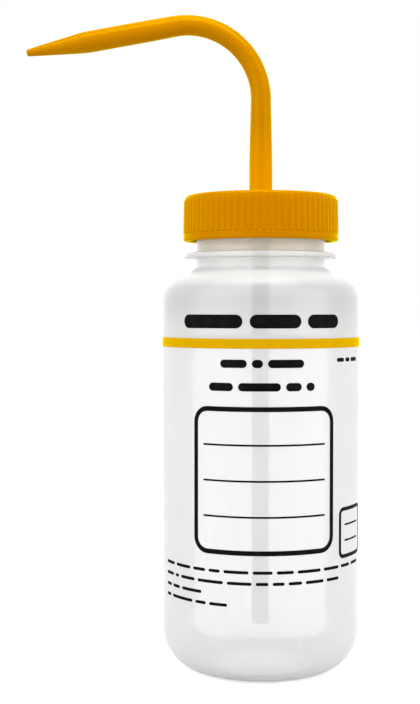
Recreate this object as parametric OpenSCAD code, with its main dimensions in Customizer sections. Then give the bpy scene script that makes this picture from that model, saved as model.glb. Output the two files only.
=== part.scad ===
// Squeeze wash bottle: blow-moulded body, ribbed screw cap, swivelling bent spout with a jet
// nozzle, sealing washer and dip tube. Millimetres, +Z up. The origin is on the bottle's axis in
// the plane it stands on, and the spout points along -X.

/* [Body] */
// Outer diameter of the straight wall
body_d = 76; // [64:0.5:92]
// Height of the straight wall's top edge, where the shoulder begins
shoulder_h = 141.5; // [110:0.5:180]
// Radius of the round between the wall and the shoulder
shoulder_round = 10; // [4:0.5:12]
// Slope of the shoulder towards the neck, in degrees
shoulder_slope = 22; // [10:1:35]
// Diameter of the ring that the bottle stands on
stand_d = 48.4; // [40:0.2:54]
// Width of the flat standing ring
stand_w = 2; // [1:0.5:4]
// Height of the round heel between the standing ring and the wall
heel_h = 15.7; // [6:0.1:24]
// Depth of the hollow under the base
pushup = 2.6; // [1:0.1:5]
// Thickness of the side wall and shoulder
wall = 1.1; // [0.7:0.1:2]
// Thickness of the base
base_wall = 1.5; // [1:0.1:3]

/* [Neck] */
// Outer diameter of the neck at the root of its thread
neck_d = 49.8; // [44:0.2:52]
// Thickness of the neck's wall
neck_wall = 1.8; // [1.2:0.1:3]
// Radius of the fillet between the shoulder and the neck
neck_fillet = 1.6; // [0.5:0.1:3]
// Outer diameter of the bead below the cap
bead_d = 58.8; // [54:0.2:64]
// Thickness of the bead at its edge
bead_t = 1.9; // [1:0.1:3]
// Height of the bead above the foot of the neck
bead_lift = 3.6; // [2.5:0.1:6]

/* [Thread] */
// Rise of the thread in one turn
pitch = 4.233; // [3.5:0.001:5.1]
// Number of turns of thread on the neck and in the cap
thread_turns = 1.5; // [1:0.25:1.75]
// Height of the thread's ridge
thread_depth = 1.5; // [1:0.1:1.8]
// Width of the ridge at its root
ridge_root = 2.3; // [1.8:0.1:2.3]
// Width of the ridge at its crest
ridge_crest = 0.9; // [0.6:0.1:1.4]
// Radial clearance between the neck's thread and the cap's
thread_gap = 0.35; // [0.25:0.05:0.6]

/* [Cap] */
// Outer diameter over the ribs
cap_d = 59.7; // [59:0.1:74]
// Overall height
cap_h = 17.5; // [16:0.5:24]
// Gap between the bead and the cap's lower edge
cap_lift = 4.8; // [1:0.1:8]
// Thickness of the top plate
plate_t = 1.9; // [1.2:0.1:3]
// Width of the inner land around the spout's flange
land_w = 2; // [1:0.1:4]
// Number of grip ribs
rib_count = 72; // [36:2:120]
// Depth of the grooves between the ribs
rib_depth = 0.45; // [0.2:0.05:0.8]
// Height of the plain band below the ribs
band_h = 2.9; // [1:0.1:5]
// Height of the plain rounded edge above the ribs
brow_h = 1.8; // [1:0.1:3]
// Width of the plain rounded edge above the ribs
brow_w = 2.1; // [1:0.1:3]

/* [Washer] */
// Thickness of the sealing washer
washer_t = 1.5; // [1:0.1:2.5]
// Gap left on each face of the washer and of the spout's flange
seat_gap = 0.05; // [0.03:0.01:0.15]
// Radial clearance around the washer's outer edge and in its hole
washer_gap = 0.3; // [0.2:0.05:0.6]

/* [Spout] */
// Outer diameter where it leaves the cap
spout_d = 8.9; // [7.6:0.1:10.8]
// Outer diameter of the straight arm
arm_d = 8.1; // [6.6:0.1:9.8]
// How much thinner the tube is in the bend, on radius
bend_thin = 0.15; // [0.1:0.05:0.3]
// Inner diameter of the passage in the arm
passage_d = 5; // [3:0.1:5.2]
// Radial running clearance of the spout in the cap
spout_gap = 0.1; // [0.05:0.01:0.1]
// Straight height between the cap and the bend
spout_rise = 37; // [20:0.5:60]
// Radius of the bend's centre line
bend_r = 28.3; // [20:0.1:40]
// Angle of the arm below the horizontal
arm_droop = 10.2; // [0:0.1:30]
// Length of the straight arm before the nozzle
arm_l = 35; // [15:0.5:60]
// Length of the nozzle's taper
nozzle_l = 22.5; // [12:0.5:32]
// Outer diameter of the nozzle's tip
tip_d = 2.6; // [2:0.1:4]
// Diameter of the jet hole
jet_d = 1.1; // [0.6:0.1:1.5]
// Diameter of the flange that holds the spout under the cap
flange_d = 22; // [14:0.5:30]
// Thickness of the flange
flange_t = 1.2; // [0.8:0.1:2.2]
// Length of the spigot below the flange
spigot_l = 9; // [5:0.5:16]

/* [Dip tube] */
// Outer diameter
dip_d = 6.6; // [5.6:0.1:7.8]
// Thickness of its wall
dip_wall = 0.9; // [0.6:0.1:1.4]
// Height of its lower end above the standing plane
dip_end_h = 16; // [6:0.5:30]
// Length of tube pushed up into the spout
dip_push = 18; // [10:0.5:24]
// Interference of the push fit on radius
dip_squeeze = 0.05; // [0.02:0.01:0.1]

/* [Hidden] */
$fn = 96;
// Overlap that joins the ribs to the cap's plain bands
EPS = 0.01;
// Least distance from the standing ring out to the cavity's wall
HEEL_MIN = 4;
// Width of the sloping edge of the hollow under the base
HOLLOW_EDGE = 1.5;
// Chamfers of the bead, the rim and the cap's lower edge, and the cap's lead-in
BEAD_EDGE = 0.3;
RIM_EDGE = 0.4;
CAP_EDGE = 0.4;
LEAD_IN = 0.5;
// Rise of the bead's upper slope against the neck
BEAD_SLOPE = 0.6;
// Distance from the rim down to the thread's run-out
THREAD_DROP = 0.4;
// How far the cap's plain band lies inside the ribs' tops
BAND_STEP = 0.15;
// Grip rib's outline, as shares of the ribs' spacing and of their depth
RIB_SHAPE = [[-0.36, 0], [-0.18, 1], [0.18, 1], [0.36, 0]];
// Angle of one step of the thread, its depth in the wall, and the angle over which it runs out
THREAD_STEP = 7.5;
RIDGE_SINK = 0.4;
RUNOUT = 30;
// Radius of the nozzle tip's edge
TIP_ROUND = 0.6;
// Depth of the jet hole before it widens into the passage
JET_DEPTH = 2;
// Angle by which the bend reaches into the arm's wall
BEND_LAP = 0.8;

// Radii
body_r = body_d / 2;
neck_r = neck_d / 2;
stand_r = min(stand_d / 2, body_r - wall - HEEL_MIN);
foot_r = stand_r - stand_w;
bead_r = bead_d / 2;
mouth_r = neck_r - neck_wall;
cap_r = cap_d / 2;
cap_root_r = cap_r - rib_depth;
cap_bore_r = neck_r + thread_depth + thread_gap;
spout_r = spout_d / 2;
arm_r = arm_d / 2;
bend_tube_r = arm_r - bend_thin;
passage_r = passage_d / 2;
bend_passage_r = passage_r + bend_thin / 2;
flange_r = flange_d / 2;
dip_r = dip_d / 2;
socket_r = dip_r - dip_squeeze;
washer_r = cap_bore_r - washer_gap;
washer_hole_r = spout_r + washer_gap;
land_r = flange_r + washer_gap;

// Heights, from the standing plane up
edge_round = min(shoulder_round, (body_r - neck_r - 2 * wall) / (1 - sin(shoulder_slope)));
slope_r = body_r - edge_round * (1 - sin(shoulder_slope));
slope_z = shoulder_h + edge_round * cos(shoulder_slope);
neck_z = slope_z + (slope_r - neck_r) * tan(shoulder_slope);
bead_z = neck_z + bead_lift;
cap_z = bead_z + bead_t + cap_lift;
cap_top = cap_z + cap_h;
plate_z = cap_top - plate_t;
land_z = plate_z - flange_t - 2 * seat_gap;
washer_z = land_z - seat_gap - washer_t;
rim_z = washer_z - seat_gap;
flange_z = plate_z - seat_gap - flange_t;
spigot_z = flange_z - spigot_l;
socket_top = spigot_z + dip_push;
bend_z = cap_top + spout_rise;

// Thread: the cap's ridge lies below the neck's, half a pitch down, and both end clear of the rim
neck_thread_z = rim_z - THREAD_DROP - ridge_root / 2 - thread_turns * pitch;
cap_thread_z = neck_thread_z - pitch / 2;

// Points from angle a0 to a1 on an ellipse around c, in n steps
function arc(c, rx, rz, a0, a1, n) =
    [for (i = [0 : n]) let (a = a0 + (a1 - a0) * i / n) [c.x + rx * cos(a), c.y + rz * sin(a)]];

// One ring of a ridge at angle a: root side sunk into its wall, crest at height h beyond root_r
function ridge_ring(a, root_r, h, z) =
    let (sink = h < 0 ? -RIDGE_SINK : RIDGE_SINK,
         size = abs(h) / thread_depth,
         half_root = ridge_root / 2,
         half_crest = (ridge_root - (ridge_root - ridge_crest) * size) / 2)
    [for (p = [[root_r - sink, -half_root], [root_r + h, -half_crest],
               [root_r + h, half_crest], [root_r - sink, half_root]])
        [p.x * cos(a), p.x * sin(a), z + p.y]];

// Helical ridge of a thread, right-handed, from height z at angle 0. A negative depth points it
// inwards. Its crest runs out to the wall over the first and last RUNOUT degrees.
module ridge(root_r, depth, z) {
    sweep = 360 * thread_turns;
    steps = round(sweep / THREAD_STEP);
    points = [for (i = [0 : steps])
        let (a = sweep * i / steps, fade = min(1, 0.15 + a / RUNOUT, 0.15 + (sweep - a) / RUNOUT))
        each ridge_ring(a, root_r, depth * fade, z + pitch * a / 360)];
    sides = [for (i = [0 : steps - 1], k = [0 : 3])
        let (a = 4 * i + k, b = 4 * i + (k + 1) % 4)
        each [[a, a + 4, b], [b, a + 4, b + 4]]];
    last = 4 * steps;
    caps = [[0, 1, 2], [0, 2, 3], [last, last + 2, last + 1], [last, last + 3, last + 2]];
    faces = concat(sides, caps);
    flipped = [for (f = faces) [f[0], f[2], f[1]]];
    polyhedron(points, depth < 0 ? faces : flipped, convexity = 6);
}

// Half outline of the shallow hollow under the base, raised by up
function hollow_points(up) =
    [[0, pushup + up], [foot_r / 2, 0.85 * pushup + up],
     [foot_r - HOLLOW_EDGE, pushup / 2 + up], [foot_r, up]];

// Half outline of the bottle's outer surface, from the base's centre up to the rim
function bottle_outside() = concat(
    hollow_points(0),
    arc([stand_r, heel_h], body_r - stand_r, heel_h, -90, 0, 14),
    arc([body_r - edge_round, shoulder_h], edge_round, edge_round, 0, 90 - shoulder_slope, 10),
    neck_fillet_points(neck_r, 0),
    [[neck_r, bead_z], [bead_r - BEAD_EDGE, bead_z], [bead_r, bead_z + BEAD_EDGE],
     [bead_r, bead_z + bead_t - BEAD_EDGE], [bead_r - BEAD_EDGE, bead_z + bead_t],
     [neck_r, bead_z + bead_t + BEAD_SLOPE], [neck_r, rim_z - RIM_EDGE],
     [neck_r - RIM_EDGE, rim_z]]);

// Fillet that turns the shoulder's slope into the upright neck, on a neck of radius r lowered by
// down. It is an arc tangent to both lines.
function neck_fillet_points(r, down) =
    let (turn = 90 - shoulder_slope,
         foot_z = slope_z - down + (slope_r - r) * tan(shoulder_slope),
         c = [r + neck_fillet, foot_z + neck_fillet * tan(turn / 2)])
    arc(c, neck_fillet, neck_fillet, 270 - shoulder_slope, 180, 6);

// Half outline of the bottle's cavity, from the base's centre up past the rim
function bottle_inside() = concat(
    hollow_points(base_wall),
    arc([stand_r, heel_h], body_r - stand_r - wall, heel_h - base_wall, -90, 0, 14),
    arc([body_r - edge_round, shoulder_h], edge_round - wall, edge_round - wall,
        0, 90 - shoulder_slope, 10),
    neck_fillet_points(mouth_r, wall / cos(shoulder_slope)),
    [[mouth_r, rim_z + 1], [0, rim_z + 1]]);

// Blow-moulded bottle: hollow body, neck with its bead and thread
module bottle() {
    color("#e8e8e4") {
        rotate_extrude() difference() {
            polygon(concat(bottle_outside(), [[0, rim_z]]));
            polygon(bottle_inside());
        }
        ridge(neck_r, thread_depth, neck_thread_z);
    }
}

// Ring of upright grip ribs from z0 to z1, each a flat-topped tooth
module grip_ribs(z0, z1) {
    step = 360 / rib_count;
    teeth = [for (i = [0 : rib_count - 1], p = RIB_SHAPE)
        let (a = step * (i + p.x), r = cap_root_r + rib_depth * p.y) [r * cos(a), r * sin(a)]];
    translate([0, 0, z0]) linear_extrude(z1 - z0) difference() {
        polygon(teeth);
        circle(cap_root_r - 1);
    }
}

// Screw cap: ribbed skirt with an inner thread, top plate with a hole for the spout, and two
// lands under the plate that press on the washer
module screw_cap() {
    ribs_z = cap_z + band_h;
    brow_z = cap_top - brow_h;
    band_r = cap_r - BAND_STEP;
    outline = concat(
        [[cap_bore_r + LEAD_IN, cap_z], [band_r - CAP_EDGE, cap_z], [band_r, cap_z + CAP_EDGE],
         [band_r, ribs_z], [cap_root_r, ribs_z], [cap_root_r, brow_z]],
        arc([cap_root_r - brow_w, brow_z], brow_w, brow_h, 10, 90, 6),
        [[spout_r + spout_gap, cap_top], [spout_r + spout_gap, plate_z], [land_r, plate_z],
         [land_r, land_z], [land_r + land_w, land_z], [land_r + land_w, plate_z],
         [mouth_r, plate_z], [mouth_r, land_z], [cap_bore_r, land_z],
         [cap_bore_r, cap_z + LEAD_IN]]);
    color("#f5a800") {
        rotate_extrude() polygon(outline);
        grip_ribs(ribs_z - EPS, brow_z + EPS);
        ridge(cap_bore_r, -thread_depth, cap_thread_z);
    }
}

// Soft washer between the rim of the neck and the cap
module sealing_washer() {
    color("#f4f4ee") translate([0, 0, washer_z]) difference() {
        cylinder(h = washer_t, r = washer_r);
        translate([0, 0, -1]) cylinder(h = washer_t + 2, r = washer_hole_r);
    }
}

// Half outline of the spout's lower stretch: spigot with its flange, the straight rise that
// narrows up to the bend, and the socket and passage inside them
function rise_points() = [
    [socket_r, spigot_z], [spout_r, spigot_z], [spout_r, flange_z], [flange_r, flange_z],
    [flange_r, flange_z + flange_t], [spout_r, flange_z + flange_t], [spout_r, cap_top],
    [bend_tube_r, bend_z], [bend_passage_r, bend_z], [bend_passage_r, socket_top],
    [socket_r, socket_top]];

// Half outline of the arm and its nozzle, along their own axis, with the tip's edge rounded
function arm_points() = concat(
    [[passage_r, 0], [arm_r, 0], [arm_r, arm_l]],
    arc([tip_d / 2 - TIP_ROUND, arm_l + nozzle_l - TIP_ROUND], TIP_ROUND, TIP_ROUND, 5, 90, 4),
    [[jet_d / 2, arm_l + nozzle_l], [jet_d / 2, arm_l + nozzle_l - JET_DEPTH],
     [passage_r, arm_l]]);

// Bent spout: swivels in the cap on its flange, takes the dip tube in its lower end, and narrows
// to a jet nozzle at its tip. The bend's end lies within the arm's wall.
module spout() {
    turn = 90 + arm_droop;
    color("#f0a400") {
        rotate_extrude() polygon(rise_points());
        translate([-bend_r, 0, bend_z]) rotate([90, 0, 0])
            rotate_extrude(angle = turn + BEND_LAP) translate([bend_r, 0]) difference() {
                circle(bend_tube_r);
                circle(bend_passage_r);
            }
        translate([bend_r * (cos(turn) - 1), 0, bend_z + bend_r * sin(turn)])
            rotate([0, -turn, 0]) rotate_extrude() polygon(arm_points());
    }
}

// Straight dip tube, pushed up into the spout
module dip_tube() {
    color("#eeeeea") translate([0, 0, dip_end_h]) difference() {
        cylinder(h = socket_top - dip_end_h, r = dip_r);
        translate([0, 0, -1]) cylinder(h = socket_top - dip_end_h + 2, r = dip_r - dip_wall);
    }
}

bottle();
screw_cap();
sealing_washer();
spout();
dip_tube();
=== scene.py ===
"""Squeeze wash bottle: translucent blow-moulded body, ribbed yellow cap, bent spout, washer and dip tube.

Every piece is a surface worked out with numpy around the bottle's axis or along the spout's centre
line. Lengths are in metres, +Z is up, the bottle stands on the origin and its front faces -Y.
"""

import logging
import math
from dataclasses import dataclass, replace
from enum import Enum
from typing import Self

import bpy
import numpy as np
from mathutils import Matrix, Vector


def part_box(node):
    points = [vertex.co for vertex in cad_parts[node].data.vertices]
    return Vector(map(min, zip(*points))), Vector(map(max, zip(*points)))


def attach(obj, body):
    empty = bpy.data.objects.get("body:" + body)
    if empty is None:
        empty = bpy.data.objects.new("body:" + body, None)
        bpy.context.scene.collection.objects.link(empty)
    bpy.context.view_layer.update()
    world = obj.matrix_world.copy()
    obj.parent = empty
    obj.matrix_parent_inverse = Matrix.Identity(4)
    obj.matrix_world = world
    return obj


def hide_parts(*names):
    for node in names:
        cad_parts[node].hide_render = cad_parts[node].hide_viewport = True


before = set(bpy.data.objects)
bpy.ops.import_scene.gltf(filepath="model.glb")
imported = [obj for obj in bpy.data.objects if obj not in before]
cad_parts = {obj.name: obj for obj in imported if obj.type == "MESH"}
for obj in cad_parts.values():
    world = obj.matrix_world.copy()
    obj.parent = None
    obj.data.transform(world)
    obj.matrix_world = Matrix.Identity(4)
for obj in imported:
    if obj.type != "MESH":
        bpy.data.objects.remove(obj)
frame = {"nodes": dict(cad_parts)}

MM = 0.001
TAU = 2 * math.pi
WHITE = (1.0, 1.0, 1.0)
LOG = logging.getLogger("wash_bottle")
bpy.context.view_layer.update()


# ---------------------------------------------------------------- shapes worked out with numpy


def arc(centre: tuple[float, float], radius: tuple[float, float], start: float, end: float,
        steps: int) -> np.ndarray:
    """Points on an ellipse: the centre plus each radius times the angle's cosine and sine.

    Args:
        centre: Middle of the ellipse, as distance from the axis and height.
        radius: Its two half axes.
        start: First angle in degrees, 0 pointing away from the axis and 90 up.
        end: Last angle in degrees.
        steps: Number of stretches between the two angles.

    Returns:
        An array of steps + 1 points.
    """
    angle = np.radians(np.linspace(start, end, steps + 1))
    return np.stack([centre[0] + radius[0] * np.cos(angle),
                     centre[1] + radius[1] * np.sin(angle)], axis=1)


def along(points: list[tuple[float, float]] | np.ndarray, spacing: float) -> np.ndarray:
    """Adds points to an open outline so that no stretch is longer than the spacing.

    Args:
        points: Corners of the outline.
        spacing: Longest stretch wanted.

    Returns:
        The corners with evenly spaced points between them.
    """
    corners = np.asarray(points, float)
    length = np.linalg.norm(np.diff(corners, axis=0), axis=1)
    counts = np.maximum(np.ceil(length / spacing).astype(int), 1)
    parameter = np.concatenate(
        [k + np.arange(n) / n for k, n in enumerate(counts)] + [[len(counts)]])
    at = np.arange(len(corners))
    return np.stack([np.interp(parameter, at, corners[:, 0]),
                     np.interp(parameter, at, corners[:, 1])], axis=1)


def smooth_step(value: np.ndarray) -> np.ndarray:
    """Rises from 0 to 1 as three times the square less twice the cube of the clipped value."""
    x = np.clip(value, 0.0, 1.0)
    return x * x * (3 - 2 * x)


@dataclass
class Grid:
    """A surface of rows and columns of points, which always closes round its columns.

    Attributes:
        points: Array of rows by columns by 3.
        loop: True if the last row joins the first.
        pole_start: True if the first row's points are all one point.
        pole_end: True if the last row's points are all one point.
    """

    points: np.ndarray
    loop: bool = False
    pole_start: bool = False
    pole_end: bool = False

    def faces(self) -> tuple[np.ndarray, np.ndarray]:
        """Joins each point to its neighbour in the next row and column, and fans at the poles.

        Returns:
            The quads and the triangles, as two arrays of point numbers.
        """
        rows, columns = self.points.shape[:2]
        first = 1 if self.pole_start else 0
        last = rows - 1 if self.pole_end else rows
        row = np.arange(first, last if self.loop else last - 1)
        column = np.arange(columns)
        a = row[:, None] * columns + column[None]
        b = row[:, None] * columns + (column[None] + 1) % columns
        up = ((row + 1) % rows - row)[:, None] * columns
        quads = np.stack([a, b, b + up, a + up], axis=-1).reshape(-1, 4)
        after = (column + 1) % columns
        fans = [np.zeros((0, 3), int)]
        if self.pole_start:
            fans.append(np.stack([np.zeros(columns, int), columns + after, columns + column], 1))
        if self.pole_end:
            ring = (rows - 2) * columns
            fans.append(np.stack([np.full(columns, ring + columns), ring + column, ring + after], 1))
        return quads, np.concatenate(fans)


def fill_mesh(mesh: bpy.types.Mesh, points: np.ndarray, quads: np.ndarray,
              triangles: np.ndarray) -> None:
    """Puts points and faces into an empty mesh as whole arrays, without the points no face uses.

    Args:
        mesh: The mesh to fill.
        points: Array of corners.
        quads: Array of four-sided faces.
        triangles: Array of three-sided faces.
    """
    corners = np.concatenate([quads.ravel(), triangles.ravel()]).astype(np.int64)
    used, corners = np.unique(corners, return_inverse=True)
    totals = np.concatenate([np.full(len(quads), 4), np.full(len(triangles), 3)])
    starts = np.concatenate([[0], np.cumsum(totals)[:-1]])
    mesh.vertices.add(len(used))
    mesh.vertices.foreach_set("co", points[used].astype(np.float32).ravel())
    mesh.loops.add(len(corners))
    mesh.loops.foreach_set("vertex_index", corners.astype(np.int32).ravel())
    mesh.polygons.add(len(totals))
    mesh.polygons.foreach_set("loop_start", starts.astype(np.int32))
    mesh.polygons.foreach_set("use_smooth", np.ones(len(totals), bool))
    mesh.update(calc_edges=True)
    mesh.validate()


def make_piece(name: str, grids: list[Grid], sharp_deg: float = 40.0) -> bpy.types.Object:
    """Makes one object, at the origin and unturned, from one or more closed grids.

    Args:
        name: The piece's name.
        grids: Its surfaces.
        sharp_deg: Edges that turn by more than this stay sharp in shading.

    Returns:
        The object, linked to the scene.
    """
    points, quads, triangles, count = [], [], [], 0
    for grid in grids:
        q, t = grid.faces()
        points.append(grid.points.reshape(-1, 3))
        quads.append(q + count)
        triangles.append(t + count)
        count += len(points[-1])
    mesh = bpy.data.meshes.new(name)
    fill_mesh(mesh, np.concatenate(points), np.concatenate(quads), np.concatenate(triangles))
    piece = bpy.data.objects.new(name, mesh)
    bpy.context.scene.collection.objects.link(piece)
    mesh.set_sharp_from_angle(angle=math.radians(sharp_deg))
    return piece


def revolve(outline: np.ndarray, angles: np.ndarray, bulge: np.ndarray | None = None) -> np.ndarray:
    """Turns an outline about the Z axis: x and y are the radius times the angle's cosine and sine.

    Args:
        outline: Rows of radius and height.
        angles: Angles round the axis, in radians.
        bulge: Rows by columns of extra radius, or None.

    Returns:
        An array of rows by columns by 3.
    """
    radius = np.repeat(outline[:, :1], len(angles), axis=1)
    if bulge is not None:
        radius = radius + bulge
    height = np.repeat(outline[:, 1:], len(angles), axis=1)
    return np.stack([radius * np.cos(angles), radius * np.sin(angles), height], axis=-1)


@dataclass
class Thread:
    """A right-handed helical ridge.

    Attributes:
        pitch: Rise in one turn.
        turns: Number of turns.
        depth: Height of the ridge, negative when it points towards the axis.
        start: Height of its middle at angle 0.
        root: Width at its root.
        crest: Width at its crest.
        runout: Angle over which each end fades, in turns.
    """

    pitch: float
    turns: float
    depth: float
    start: float
    root: float
    crest: float
    runout: float = 1 / 12

    def bulge(self, heights: np.ndarray, angles: np.ndarray) -> np.ndarray:
        """Radius that the ridge adds at each height and angle.

        On each turn the distance from the ridge's middle is the height less the start and the
        pitch times the turns so far. The ridge is full within half its crest and falls evenly to
        nothing at half its root.

        Args:
            heights: Heights of the outline's rows.
            angles: Angles round the axis, in radians.

        Returns:
            Rows by columns of extra radius.
        """
        total = np.zeros((len(heights), len(angles)))
        for turn in range(math.ceil(self.turns)):
            travel = angles / TAU + turn
            away = np.abs(heights[:, None] - self.start - self.pitch * travel[None])
            shape = np.clip((self.root / 2 - away) / ((self.root - self.crest) / 2), 0, 1)
            ends = np.minimum(travel, self.turns - travel) / self.runout
            total = np.maximum(total, shape * smooth_step(ends)[None])
        return total * self.depth

    def mate(self) -> Self:
        """The ridge that runs half a pitch below this one and points the other way."""
        return replace(self, depth=-self.depth, start=self.start - self.pitch / 2)


# ---------------------------------------------------------------- finishes


class Coords(Enum):
    """Where a pattern takes its place from."""

    OBJECT = "Object"
    GENERATED = "Generated"


class Target(Enum):
    """What a node tree paints, as the type of its output node."""

    PIECE = "ShaderNodeOutputMaterial"
    WORLD = "ShaderNodeOutputWorld"


@dataclass
class NodeBench:
    """A node tree, with short calls that add and join nodes.

    Attributes:
        owner: The material or world that holds the tree.
        target: Which of the two it is.
    """

    owner: bpy.types.Material | bpy.types.World
    target: Target = Target.PIECE

    def __post_init__(self) -> None:
        """Empties the tree and adds its output."""
        self.owner.use_nodes = True
        self.tree = self.owner.node_tree
        self.tree.nodes.clear()
        self.output = self.add(self.target.value)

    def add(self, kind: str, **values: object) -> bpy.types.Node:
        """Adds a node and sets its sockets or properties by name.

        Args:
            kind: Blender's name for the node type.
            **values: Socket names with _ for a space, or property names, and their values.

        Returns:
            The new node.
        """
        node = self.tree.nodes.new(kind)
        for key, value in values.items():
            socket = node.inputs.get(key.replace("_", " "))
            if socket is None:
                setattr(node, key, value)
            elif isinstance(value, bpy.types.NodeSocket):
                self.tree.links.new(value, socket)
            else:
                socket.default_value = value
        return node

    def coords(self, scale: tuple[float, float, float] = (1.0, 1.0, 1.0),
               source: Coords = Coords.OBJECT) -> bpy.types.NodeSocket:
        """Coordinates, stretched by a Mapping node.

        Args:
            scale: Factor along each axis.
            source: Which coordinates.

        Returns:
            The mapped vector.
        """
        place = self.add("ShaderNodeTexCoord")
        mapped = self.add("ShaderNodeMapping", Vector=place.outputs[source.value], Scale=scale)
        return mapped.outputs["Vector"]

    def part(self, vector: bpy.types.NodeSocket, axis: str) -> bpy.types.NodeSocket:
        """One of a vector's three parts, X, Y or Z."""
        return self.add("ShaderNodeSeparateXYZ", Vector=vector).outputs[axis]

    def noise(self, vector: bpy.types.NodeSocket, scale: float, detail: float) -> bpy.types.NodeSocket:
        """A noise pattern's value over the given coordinates."""
        return self.add("ShaderNodeTexNoise", Vector=vector, Scale=scale, Detail=detail).outputs["Fac"]

    def spread(self, value: bpy.types.NodeSocket, low: float, high: float,
               start: float = 0.3, end: float = 0.7) -> bpy.types.NodeSocket:
        """Maps a value between start and end to one between low and high."""
        node = self.add("ShaderNodeMapRange", Value=value, From_Min=start, From_Max=end,
                        To_Min=low, To_Max=high)
        return node.outputs["Result"]

    def blend(self, factor: bpy.types.NodeSocket, first: tuple[float, ...] | bpy.types.NodeSocket,
              second: tuple[float, ...]) -> bpy.types.NodeSocket:
        """Mixes two colours by a factor. The first may be another mix."""
        node = self.tree.nodes.new("ShaderNodeMix")
        node.data_type = "RGBA"
        self.tree.links.new(factor, node.inputs["Factor"])
        colour = [s for s in node.inputs if s.type == "RGBA"]
        if isinstance(first, bpy.types.NodeSocket):
            self.tree.links.new(first, colour[0])
        else:
            colour[0].default_value = (*first, 1.0)
        colour[1].default_value = (*second, 1.0)
        return next(s for s in node.outputs if s.type == "RGBA")

    def bump(self, height: bpy.types.NodeSocket, distance: float,
             strength: float) -> bpy.types.NodeSocket:
        """A normal that follows a height pattern."""
        node = self.add("ShaderNodeBump", Height=height, Distance=distance, Strength=strength)
        return node.outputs["Normal"]

    def mix(self, share: float | bpy.types.NodeSocket, first: bpy.types.NodeSocket,
            second: bpy.types.NodeSocket) -> bpy.types.NodeSocket:
        """Mixes two shaders: none of the second at a share of 0, nothing else at 1."""
        node = self.add("ShaderNodeMixShader", Fac=share)
        self.tree.links.new(first, node.inputs[1])
        self.tree.links.new(second, node.inputs[2])
        return node.outputs["Shader"]

    def seen(self, lit: bpy.types.NodeSocket, looked_at: bpy.types.NodeSocket) -> bpy.types.NodeSocket:
        """Shows the camera one shader and everything else another."""
        path = self.add("ShaderNodeLightPath")
        return self.mix(path.outputs["Is Camera Ray"], lit, looked_at)

    def coated(self, under: bpy.types.NodeSocket, tint: tuple[float, float, float], index: float,
               rough: bpy.types.NodeSocket, normal: bpy.types.NodeSocket) -> bpy.types.NodeSocket:
        """Lays a mirror reflection over a shader, which grows towards the edges by Fresnel's law.

        Args:
            under: The shader below.
            tint: Colour of the reflection, linear.
            index: Refractive index that sets the reflection's strength.
            rough: Roughness of the reflection.
            normal: Direction of the skin.

        Returns:
            The two together.
        """
        shine = self.add("ShaderNodeBsdfGlossy", Color=(*tint, 1.0), Roughness=rough, Normal=normal)
        edge = self.add("ShaderNodeFresnel", IOR=index)
        return self.mix(edge.outputs["Fac"], under, shine.outputs["BSDF"])

    def finish(self, shader: bpy.types.NodeSocket) -> bpy.types.Material | bpy.types.World:
        """Joins a shader to the output and returns what holds the tree."""
        self.tree.links.new(shader, self.output.inputs["Surface"])
        return self.owner


@dataclass(frozen=True)
class MouldedPlastic:
    """Opaque injection-moulded plastic: a deep colour with slight cloudiness and a fine skin, and painted
    light at its foot when given.

    Attributes:
        name: The material's name.
        colour: Main colour, linear.
        deep: Colour in the cloudier patches, linear.
        rough: Lowest and highest roughness.
        mirror: Index that sets how the mirror reflection grows towards the edges.
        gloss: Tint of the mirror reflection, linear.
        through: Share of the scattered light that passes through the wall.
        foot: Colour of the painted light at its foot, linear, or None.
        foot_z: Heights between which that colour fades out, in metres.
        cloud_scale: Scale of the cloudiness.
        skin_scale: Scale of the skin's changes in roughness.
        ripple_scale: Scale of the skin's waviness.
        ripple_h: Height of the waviness, in metres.
        ripple_share: Strength of its effect.
    """

    name: str
    colour: tuple[float, float, float]
    deep: tuple[float, float, float]
    rough: tuple[float, float] = (0.40, 0.46)
    mirror: float = 1.45
    gloss: tuple[float, float, float] = WHITE
    through: float = 0.0
    foot: tuple[float, float, float] | None = None
    foot_z: tuple[float, float] = (0.0, 1.0)
    cloud_scale: float = 45.0
    skin_scale: float = 420.0
    ripple_scale: float = 60.0
    ripple_h: float = 0.06 * MM
    ripple_share: float = 0.5

    def build(self) -> bpy.types.Material:
        """Makes the material."""
        bench = NodeBench(bpy.data.materials.new(self.name))
        place = bench.coords()
        cloud = bench.noise(place, self.cloud_scale, 3.0)
        skin = bench.noise(place, self.skin_scale, 1.0)
        ripple = bench.noise(place, self.ripple_scale, 0.0)
        normal = bench.bump(ripple, self.ripple_h, self.ripple_share)
        colour = bench.blend(bench.spread(cloud, 0.0, 1.0), self.colour, self.deep)
        # Painted light: the foot's paler colour fades out upwards between the two heights.
        if self.foot is not None:
            fade = bench.spread(bench.part(place, "Z"), 1.0, 0.0, *self.foot_z)
            colour = bench.blend(fade, colour, self.foot)
        rough = bench.spread(skin, *self.rough, 0.0, 1.0)
        shader = bench.add("ShaderNodeBsdfPrincipled", Base_Color=colour, Roughness=rough,
                           Specular_IOR_Level=0.0, Normal=normal).outputs["BSDF"]
        if self.through > 0:
            glow = bench.add("ShaderNodeBsdfTranslucent", Color=colour, Normal=normal)
            shader = bench.mix(self.through, shader, glow.outputs["BSDF"])
        return bench.finish(bench.coated(shader, self.gloss, self.mirror, rough, normal))


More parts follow.
